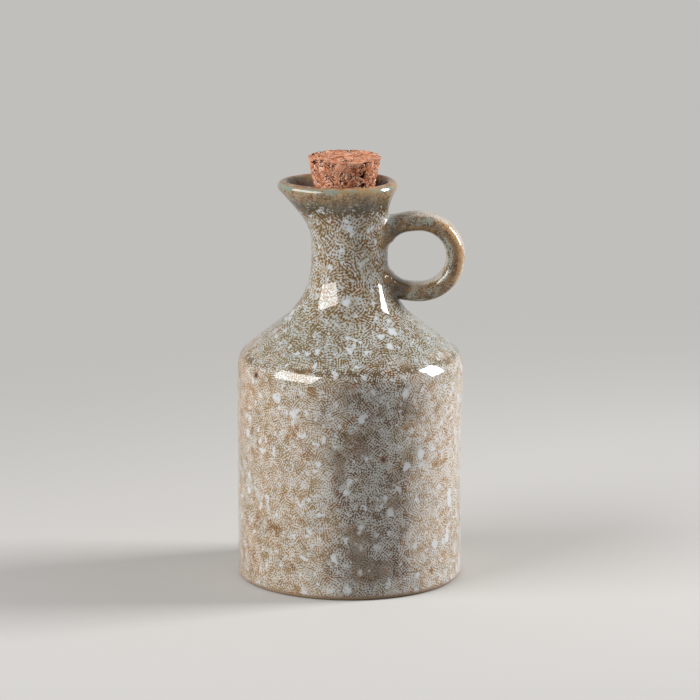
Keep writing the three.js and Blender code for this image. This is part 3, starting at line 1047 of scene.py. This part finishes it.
# Bands of the strap, from -1 towards the finger hole to 1 outside, and zones of the ring in millimetres
MIDDLE_BAND = (-0.35, -0.15)
OUTER_BAND = (0.15, 0.35)
# Crests: partly pale glaze, partly a painted highlight along the strap's edges
OUTER_CREST = (0.62, 0.84)
INNER_CREST = (-0.74, -0.92)
ASIDE_FADE = (31.0, 37.0)
LOW_FADE = (116.0, 112.0)
LOW_STRENGTH = 0.75
CREST_HEIGHT_FADE = (112.0, 122.0)
CREST_ACROSS_FADE = (20.0, 28.0)
OUTER_CREST_STRENGTH = 0.9
INNER_CREST_STRENGTH = 0.85

# Middles of the handle's joints with the wall, whose brown stains carry painted shade, and the place on the
# upper one where the glaze has pooled, with a painted highlight on it
ROOTS = [(16.0, -2.0, 134.0), (18.0, -2.0, 113.0)]
ROOT_FADE = (6.5, 2.5)
GLAZE_POOL_AND_HIGHLIGHT = (15.0, -3.0, 139.0)
POOL_FADE = (3.6, 1.2)

# Colours of the strap and of the marks on it, and washes with their strength
STRAP_GREY = srgb(164, 164, 150), srgb(94, 70, 34)
STRAP_TAN = srgb(160, 126, 80), srgb(98, 66, 28)
# The far side's tan and dark tones are lighter, partly the glaze's own and partly painted light
STRAP_BRIGHT_TAN = srgb(204, 162, 114), srgb(158, 110, 62)
STRAP_DARK = srgb(150, 116, 76), srgb(88, 60, 30)
STRAP_RUST = srgb(130, 88, 34), srgb(72, 44, 10)
STRAP_PALE_AND_HIGHLIGHT = srgb(214, 206, 196), srgb(176, 146, 106)
STRAP_SPECK = srgb(92, 46, 22), 0.85
ROOT_STAIN_AND_SHADE = srgb(70, 48, 20), 0.85
POOLED_GLAZE_AND_HIGHLIGHT = srgb(178, 188, 190), 0.7


class HandleGlaze(Glaze):
    """The same glaze run thin over the strap: bands along it, blue-grey above, brown towards its joints."""

    def __init__(self):
        super().__init__("handle_glaze")
        self.wandering = self.wander(*STRAP_WANDER)
        self.band = self.strayed(self.attribute("outer_face"), BAND_WANDERING)
        field = self.crystal_field(self.patches(*STRAP_DOTS), coarse=0.0)
        self.field = self.add(field, self.wander(*STRAP_DENSITY_WANDER))
        colour = self.pale_crests_and_highlights(self.bands())
        colour = self.wash(colour, self.specks(*STRAP_SPECKS), *STRAP_SPECK)
        self.give("Base Color", self.roots(colour))
        self.gloss(1.0, self.field, STRAP_RELIEF)

    def strayed(self, value, amount):
        """A value with the strap's wandering added."""
        return self.add(value, self.times(self.wandering, amount))

    def bands(self):
        """Three bands along the strap. At the far side and low down they have other colours; the far side's
        are lighter, partly painted light.
        """
        marks = self.step(self.field, *STRAP_MARK_FADE)
        aside = self.step(self.strayed(self.across, ASIDE_WANDERING), *ASIDE_FADE)
        low = self.step(self.strayed(self.height, LOW_WANDERING), *LOW_FADE)
        grey = self.mix(marks, *STRAP_GREY)
        tan = self.mix(marks, *STRAP_TAN)
        bright_tan = self.mix(marks, *STRAP_BRIGHT_TAN)
        dark = self.mix(marks, *STRAP_DARK)
        rust = self.times(self.patches(*STRAP_RUST_PATCHES), STRAP_RUST_SHARE)
        mottled = self.mix(rust, grey, self.mix(marks, *STRAP_RUST))
        inner = self.mix(aside, tan, grey)
        middle = self.mix(aside, mottled, dark)
        outer = self.mix(aside, mottled, bright_tan)
        colour = self.mix(self.step(self.band, *MIDDLE_BAND), inner, middle)
        colour = self.mix(self.step(self.band, *OUTER_BAND), colour, outer)
        return self.wash(colour, low, mottled, LOW_STRENGTH)

    def pale_crests_and_highlights(self, colour):
        """Pale glaze with a painted highlight on the strap's outer crest, away from the joints, and on its
        inner crest.
        """
        pale = self.mix(self.step(self.field, *PALE_MARK_FADE), *STRAP_PALE_AND_HIGHLIGHT)
        high = self.step(self.height, *CREST_HEIGHT_FADE)
        away = self.times(high, self.step(self.across, *CREST_ACROSS_FADE))
        outer = self.times(self.step(self.band, *OUTER_CREST), away)
        colour = self.wash(colour, outer, pale, OUTER_CREST_STRENGTH)
        return self.wash(colour, self.step(self.band, *INNER_CREST), pale, INNER_CREST_STRENGTH)

    def roots(self, colour):
        """Brown stains round both joints, partly painted shade, and pooled glaze with a painted highlight on
        the upper one.
        """
        for root in ROOTS:
            near = self.strayed(self.distance(root), ROOT_WANDERING)
            colour = self.wash(colour, self.step(near, *ROOT_FADE), *ROOT_STAIN_AND_SHADE)
        near = self.strayed(self.distance(GLAZE_POOL_AND_HIGHLIGHT), POOL_WANDERING)
        return self.wash(colour, self.step(near, *POOL_FADE), *POOLED_GLAZE_AND_HIGHLIGHT)


# Cork colours, with a painted highlight on the furrows' edges and painted shade in the furrows and pits, and
# the values of the furrows and pits where each begins and is full
GRANULE_TONES = srgb(246, 182, 148), srgb(158, 90, 60)
CORK_PATCHES = (1.6, 1.0, 3.0, 0.45, 0.65)
CORK_PATCH = srgb(198, 126, 92)
FURROW_WANDER = (0.8, 2.0, 3.0, 0.5)
FURROW_EDGE_FADE = (0.15, 0.40)
FURROW_EDGE_HIGHLIGHT = srgb(255, 222, 198)
FURROW_FADE = (0.42, 0.72)
FURROW_SHADE = srgb(86, 36, 18)
PIT_FADE = (0.10, 0.45)
PIT_SHADE = srgb(28, 10, 5)
CORK_ROUGHNESS = (0.0, 1.0, 0.8, 1.0)
CORK_SPECULAR = 0.1
CORK_GRAIN = (0.35, 3.0, 3.0, 0.10)


class PressedCork(Finish):
    """Pressed cork: granules of differing tone, with a painted highlight on the ridges and painted shade in
    the furrows, pits and crevices.
    """

    def __init__(self):
        super().__init__("pressed_cork")
        tone = self.attribute("granule")
        furrow = self.add(self.attribute("flake"), self.wander(*FURROW_WANDER))
        colour = self.mix(tone, *GRANULE_TONES)
        colour = self.wash(colour, self.patches(*CORK_PATCHES), CORK_PATCH)
        colour = self.wash(colour, self.step(furrow, *FURROW_EDGE_FADE), FURROW_EDGE_HIGHLIGHT)
        colour = self.wash(colour, self.step(furrow, *FURROW_FADE), FURROW_SHADE)
        colour = self.wash(colour, self.step(self.attribute("pit"), *PIT_FADE), PIT_SHADE)
        self.give("Base Color", colour)
        self.give("Roughness", self.step(tone, *CORK_ROUGHNESS))
        self.give("Specular IOR Level", CORK_SPECULAR)
        self.give("Normal", self.unevenness(*CORK_GRAIN))


def add_piece(bm, name, material, body, node):
    """Makes a finished mesh the piece that stands for a CAD node."""
    mesh = bpy.data.meshes.new(name)
    bm.to_mesh(mesh)
    bm.free()
    for face in mesh.polygons:
        face.use_smooth = True
    mesh.materials.append(material)
    piece = bpy.data.objects.new(name, mesh)
    bpy.context.scene.collection.objects.link(piece)
    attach(piece, body)
    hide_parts(node)


def seen_directly(finish):
    """1 for what the camera, a reflection or a clear surface shows, 0 for what only lights other things."""
    rays = finish.node("ShaderNodeLightPath", {})
    seen = finish.math("MAXIMUM", rays.outputs["Is Camera Ray"], rays.outputs["Is Glossy Ray"])
    return finish.math("MAXIMUM", seen, rays.outputs["Is Transmission Ray"])


def add_floor():
    """Plain pale floor that keeps the shadow and goes over to an even tone further away."""
    bm = bmesh.new()
    bmesh.ops.create_grid(bm, x_segments=1, y_segments=1, size=FLOOR_SIZE)
    mesh = bpy.data.meshes.new("floor")
    bm.to_mesh(mesh)
    bm.free()
    finish = Finish("pale_floor")
    seen = seen_directly(finish)
    finish.give("Base Color", finish.mix(seen, FLOOR_BOUNCE_COLOUR, FLOOR_COLOUR))
    finish.give("Roughness", FLOOR_ROUGHNESS)
    finish.give("Specular IOR Level", 0.0)
    away = finish.step(finish.distance((0, 0, 0)), *FLOOR_FADE)
    away = finish.times(away, seen)
    even = finish.node("ShaderNodeEmission", {"Color": FAR_FLOOR_COLOUR})
    blend = finish.node("ShaderNodeMixShader", {0: away, 1: finish.shader.outputs[0], 2: even.outputs[0]})
    finish.feed(finish.tree.nodes["Material Output"].inputs["Surface"], blend.outputs[0])
    mesh.materials.append(finish.material)
    floor = bpy.data.objects.new("floor", mesh)
    bpy.context.scene.collection.objects.link(floor)


def add_softbox(name, azimuth, height, distance, width, tall, power):
    """Rectangular soft light standing round the bottle. Azimuth 0 is the camera's side, 90 is +X."""
    light = bpy.data.lights.new(name, "AREA")
    light.shape = "RECTANGLE"
    light.size = width
    light.size_y = tall
    light.energy = power
    lamp = bpy.data.objects.new(name, light)
    turn = math.radians(azimuth)
    lamp.location = (math.sin(turn) * distance, -math.cos(turn) * distance, height)
    towards = Vector((0, 0, CAMERA_AIM.z)) - lamp.location
    lamp.rotation_euler = towards.to_track_quat("-Z", "Y").to_euler()
    lamp.visible_camera = False
    bpy.context.scene.collection.objects.link(lamp)


def add_world():
    """Low even light, with a pale surround for the camera and for reflections."""
    world = bpy.data.worlds.new("studio")
    bpy.context.scene.world = world
    world.use_nodes = True
    tree = world.node_tree
    background = tree.nodes["Background"]
    background.inputs["Color"].default_value = FAR_FLOOR_COLOUR
    rays = tree.nodes.new("ShaderNodeLightPath")
    seen = rays.outputs["Is Camera Ray"]
    for kind in "Is Glossy Ray", "Is Transmission Ray":
        either = tree.nodes.new("ShaderNodeMath")
        either.operation = "MAXIMUM"
        tree.links.new(seen, either.inputs[0])
        tree.links.new(rays.outputs[kind], either.inputs[1])
        seen = either.outputs[0]
    strength = tree.nodes.new("ShaderNodeMapRange")
    strength.inputs["To Min"].default_value = SURROUND_LIGHT / FAR_FLOOR_COLOUR[1]
    strength.inputs["To Max"].default_value = 1.0
    tree.links.new(seen, strength.inputs["Value"])
    tree.links.new(strength.outputs[0], background.inputs["Strength"])


def add_camera():
    """Camera at the photograph's angle and framing."""
    data = bpy.data.cameras.new("camera")
    data.sensor_fit = "HORIZONTAL"
    data.sensor_width = SENSOR
    data.lens = FOCAL_PIXELS * SENSOR / IMAGE_PIXELS
    data.clip_end = CAMERA_REACH
    camera = bpy.data.objects.new("camera", data)
    back = Vector((0, -math.cos(CAMERA_ELEVATION), math.sin(CAMERA_ELEVATION)))
    camera.location = CAMERA_AIM + back * CAMERA_DISTANCE
    camera.rotation_euler = (-back).to_track_quat("-Z", "Y").to_euler()
    bpy.context.scene.collection.objects.link(camera)
    bpy.context.scene.camera = camera


bottle_finish = BottleGlaze().material
handle_finish = HandleGlaze().material
cork_finish = PressedCork().material
add_piece(bottle_mesh(), "glazed_bottle", bottle_finish, "bottle", "stoneware_bottle")
add_piece(handle_mesh(), "glazed_handle", handle_finish, "bottle", "ring_handle")
add_piece(cork_mesh(), "granular_cork", cork_finish, "cork", "cork_stopper")
add_floor()
add_softbox("softbox_left", azimuth=-60, height=0.56, distance=0.95, width=0.88, tall=0.62, power=11.4)
add_softbox("softbox_right", azimuth=100, height=0.50, distance=0.95, width=0.38, tall=0.54, power=13)
add_world()
add_camera()
bpy.context.scene.view_settings.view_transform = "Standard"
